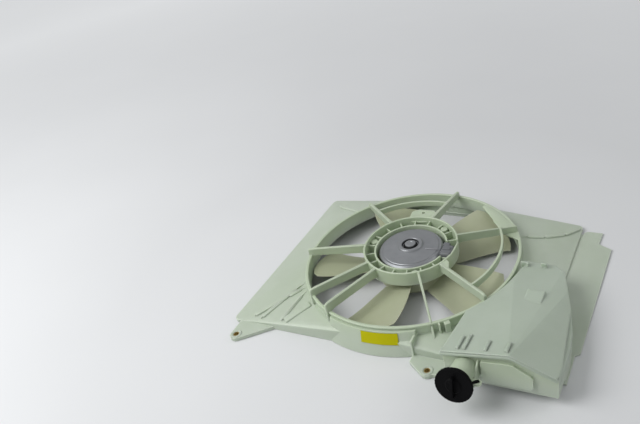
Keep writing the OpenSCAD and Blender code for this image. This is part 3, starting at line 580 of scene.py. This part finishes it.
# Can's end: the pressed bearing seat in the middle of the can's end, with its button, groove and raised ring.
# The end slopes gently down from it to the rim, and a short crease runs out towards the connector.
can_finish = worked_metal(
    "zinc_coated_end", colour=(0.32, 0.33, 0.345), dull=(0.29, 0.30, 0.315), metallic=0.6, rough=0.40,
    grain=60, streak=(1, 1, 1))
end_nodes, end_links = can_finish.node_tree.nodes, can_finish.node_tree.links
end_place = end_nodes.new("ShaderNodeSeparateXYZ")
end_links.new(end_nodes["Texture Coordinate"].outputs["Object"], end_place.inputs["Vector"])
end_reach = end_nodes.new("ShaderNodeVectorMath")
end_reach.operation = "LENGTH"
end_flat = end_nodes.new("ShaderNodeCombineXYZ")
end_links.new(end_place.outputs["X"], end_flat.inputs["X"])
end_links.new(end_place.outputs["Y"], end_flat.inputs["Y"])
end_links.new(end_flat.outputs["Vector"], end_reach.inputs[0])
# Painted shadow: the groove between the button and the raised ring is coloured near black. This stands in for
# the deep shade inside it.
ramp_reach = 0.05
groove_shadow_ramp = end_nodes.new("ShaderNodeValToRGB")
groove_shadow_ramp.color_ramp.elements[0].position = 0.0081 / ramp_reach
groove_shadow_ramp.color_ramp.elements[0].color = (0, 0, 0, 1)
groove_shadow_ramp.color_ramp.elements[1].position = 0.0140 / ramp_reach
groove_shadow_ramp.color_ramp.elements[1].color = (0, 0, 0, 1)
for stop in (0.0090, 0.0126):
    groove_shadow_ramp.color_ramp.elements.new(stop / ramp_reach).color = (1, 1, 1, 1)
groove_scale = end_nodes.new("ShaderNodeMath")
groove_scale.operation = "MULTIPLY"
groove_scale.inputs[1].default_value = 1 / ramp_reach
end_links.new(end_reach.outputs["Value"], groove_scale.inputs[0])
end_links.new(groove_scale.outputs["Value"], groove_shadow_ramp.inputs["Fac"])
painted_groove_shadow = end_nodes.new("ShaderNodeMix")
painted_groove_shadow.data_type = "RGBA"
painted_groove_shadow.inputs[7].default_value = (0.012, 0.012, 0.013, 1)
end_links.new(groove_shadow_ramp.outputs["Color"], painted_groove_shadow.inputs[0])
end_links.new(end_nodes["Color Ramp"].outputs["Color"], painted_groove_shadow.inputs[6])
end_links.new(painted_groove_shadow.outputs[2], end_nodes["Principled BSDF"].inputs["Base Color"])
can_end_profile = (
    (0.0436, 0.0546), (0.0434, 0.0551), (0.0330, 0.0562), (0.0215, 0.0573), (0.0200, 0.0578),
    (0.0190, 0.0602), (0.0182, 0.0610), (0.0142, 0.0610), (0.0134, 0.0604), (0.0127, 0.0580),
    (0.0126, 0.0568), (0.0089, 0.0568), (0.0088, 0.0600), (0.0082, 0.0614), (0.0073, 0.0619),
    (0.0044, 0.0619), (0.0036, 0.0613), (0.0008, 0.0612))
can_seat = turned("can_end_pressing", can_end_profile, 96)
close_ends()
seat(can_seat, can_finish, angle=30)
# The crease is real, but its bright turned-steel colour is a painted highlight along it, lighter than the
# can's zinc.
can_crease = block(
    "can_end_crease", (0.0360, -0.0011, 0.0563), (0.0205, 0.0018, 0.0016),
    (0, math.radians(6), math.radians(12.8)))
soften(can_crease, 0.0006, 3)
seat(can_crease, turned_steel)

# Shaft, bearings, screws and brush springs: ground or rolled bright steel.
# Only the three screws show, from the radiator side behind the blades.
for name in ("motor_shaft", "front_bearing", "rear_bearing", "motor_screws", "brush_springs"):
    finish_node(name, turned_steel)

# Magnets and armature core: dark sintered ferrite, and a stack of punched steel sheets with fine lines.
# Both are hidden inside the can.
ferrite = worked_metal(
    "ferrite", colour=(0.060, 0.060, 0.064), dull=(0.035, 0.035, 0.038), metallic=0.1, rough=0.62, grain=350,
    streak=(1, 1, 1))
finish_node("motor_magnets", ferrite)
sheet_stack = worked_metal(
    "punched_sheets", colour=(0.24, 0.24, 0.26), dull=(0.12, 0.12, 0.13), metallic=0.8, rough=0.45, grain=60,
    streak=(1, 1, 40))
finish_node("armature_core", sheet_stack)

# Winding and commutator: enamelled copper wire, and bare copper bars that the brushes have browned.
# The wire lies in long strands, so its colour changes across the bundle.
enamelled_copper = worked_metal(
    "enamelled_copper", colour=(0.48, 0.20, 0.07), dull=(0.30, 0.11, 0.04), metallic=0.7, rough=0.34,
    grain=500, streak=(1, 1, 8))
finish_node("armature_winding", enamelled_copper)
bare_copper = worked_metal(
    "bare_copper", colour=(0.55, 0.27, 0.13), dull=(0.33, 0.15, 0.08), metallic=0.95, rough=0.30, grain=300,
    streak=(1, 1, 10))
finish_node("commutator", bare_copper)

# Brush gear: a dark phenolic card, and sintered carbon brushes with a dry black face.
# The springs press the brushes inwards.
phenolic = moulded_plastic(
    "phenolic_card", thin=(0.050, 0.042, 0.038), thick=(0.036, 0.030, 0.028), rough=0.58, glow=0.0, grain=600)
finish_node("brush_card", phenolic)
carbon = moulded_plastic(
    "carbon", thin=(0.026, 0.026, 0.028), thick=(0.016, 0.016, 0.017), rough=0.66, glow=0.0, grain=1400)
finish_node("carbon_brushes", carbon)

# Motor connector: a small two-way socket in mid-grey glass-filled plastic, with tin-plated blades inside.
# It sits between the can and the motor ring, with its mouth outwards.
grey_plastic = moulded_plastic(
    "grey_glass_filled", thin=(0.180, 0.186, 0.196), thick=(0.128, 0.134, 0.143), rough=0.50, glow=0.0,
    grain=1200)
connector = block("connector_barrel", (0.0607, 0, 0.0530), (0.0200, 0.0230, 0.0130))


def runs_outwards(side):
    start, end = (connector.data.vertices[index].co for index in side.vertices)
    return abs(start.y - end.y) < 0.0001 and abs(start.z - end.z) < 0.0001


bpy.ops.object.mode_set(mode="EDIT")
pick(connector, "edges", runs_outwards)
bpy.ops.mesh.bevel(offset=0.0048, segments=6)
pick(connector, "polygons", lambda face: face.normal.x > 0.9)
bpy.ops.mesh.inset(thickness=0.0014, depth=0)
bpy.ops.mesh.extrude_region_move(TRANSFORM_OT_translate={"value": (-0.0125, 0, 0)})
bpy.ops.mesh.select_all(action="SELECT")
bpy.ops.mesh.normals_make_consistent(inside=False)
bpy.ops.object.mode_set(mode="OBJECT")
soften(connector, 0.0003, 1)
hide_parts("connector_shell")
seat(connector, grey_plastic)
for part_name, part_at, part_size, part_round in (
        ("connector_latch", (0.0600, 0.0005, 0.0600), (0.0120, 0.0064, 0.0016), 0.0005),
        ("connector_rib_near", (0.0600, -0.0085, 0.0588), (0.0170, 0.0014, 0.0014), 0.0004),
        ("connector_rib_far", (0.0600, 0.0085, 0.0588), (0.0170, 0.0014, 0.0014), 0.0004),
        ("connector_back", (0.0548, 0.0140, 0.0530), (0.0105, 0.0080, 0.0100), 0.0012)):
    connector_part = block(part_name, part_at, part_size)
    soften(connector_part, part_round)
    seat(connector_part, grey_plastic)
tin_plate = worked_metal(
    "tin_plate", colour=(0.60, 0.58, 0.50), dull=(0.42, 0.40, 0.34), metallic=0.9, rough=0.35, grain=300,
    streak=(1, 1, 1))
finish_node("connector_terminals", tin_plate)

# Filler cap, its seal and its tether: a black moulding, a soft black ring, and a flexible strap.
# The cap is turned and lifted off by its bar.
black_plastic = moulded_plastic(
    "black_moulding", thin=(0.004, 0.004, 0.0045), thick=(0.003, 0.003, 0.0035), rough=0.50, glow=0.0,
    grain=900)
black_plastic.node_tree.nodes["Principled BSDF"].inputs["Specular IOR Level"].default_value = 0.06
for name in ("filler_cap", "cap_tether"):
    finish_node(name, black_plastic)
grip_sides = 96
grip_profile = (
    (0.0225, 0.0465), (0.0240, 0.0465), (0.0246, 0.0459), (0.0247, 0.0431), (0.0242, 0.0424),
    (0.0225, 0.0422))
cap_grip = turned("cap_grip", grip_profile, grip_sides)
close_ring()


def in_flute(corner):
    side = round(heading(corner.co) * grip_sides / 360)
    return math.hypot(corner.co.x, corner.co.y) > 0.0238 and side % 3 == 0


bpy.ops.object.mode_set(mode="EDIT")
pick(cap_grip, "vertices", in_flute)
bpy.ops.transform.resize(value=(0.972, 0.972, 1), center_override=(0, 0, 0.0445))
bpy.ops.object.mode_set(mode="OBJECT")
cap_grip.rotation_euler = (math.radians(90 - 14), 0, 0)
cap_grip.location = (0.160, -0.201, 0.041)
seat(cap_grip, black_plastic, body="cap")
seal_rubber = moulded_plastic(
    "seal_rubber", thin=(0.020, 0.020, 0.020), thick=(0.013, 0.013, 0.013), rough=0.72, glow=0.0, grain=1300)
finish_node("cap_seal", seal_rubber)
